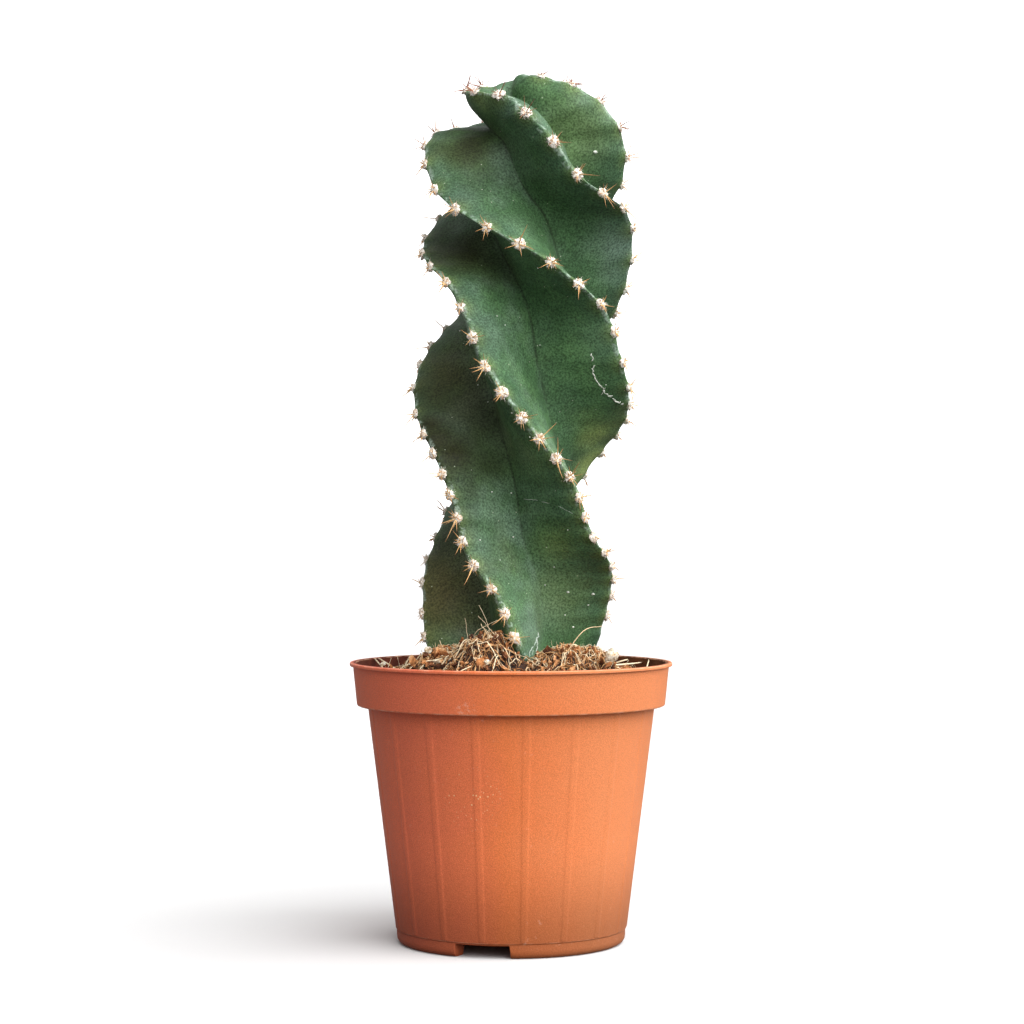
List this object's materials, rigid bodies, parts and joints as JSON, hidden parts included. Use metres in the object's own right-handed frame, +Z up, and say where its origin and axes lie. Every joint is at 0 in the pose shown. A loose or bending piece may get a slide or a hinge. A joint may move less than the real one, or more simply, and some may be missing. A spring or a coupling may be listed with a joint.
{
  "type": "potted spiral cereus",
  "caption": "Columnar cactus with deep ribs that spiral up its stem, spined along the crests, in a moulded plastic nursery pot of coir and peat mix.",
  "frame": {"origin": "middle of the pot's foot, on the surface that it stands on", "axes": "+Z up the plant, -Y towards the front that the picture shows, +X to its right"},
  "size_m": [0.12, 0.12, 0.3243],
  "materials": {
    "pot_plastic": "fine moulded texture, satin",
    "potting_mix": "loose coir fibre, peat crumbs and white perlite",
    "cactus_flesh": "waxy green skin with a pale bloom",
    "areole_wool": "felted cream wool",
    "spines": "hard, semi-gloss, gold to red-brown"
  },
  "bodies": {
    "root": {"pot": "pot_plastic", "potting_mix": "potting_mix", "cereus_stem": "cactus_flesh"}
  },
  "joints": []
}
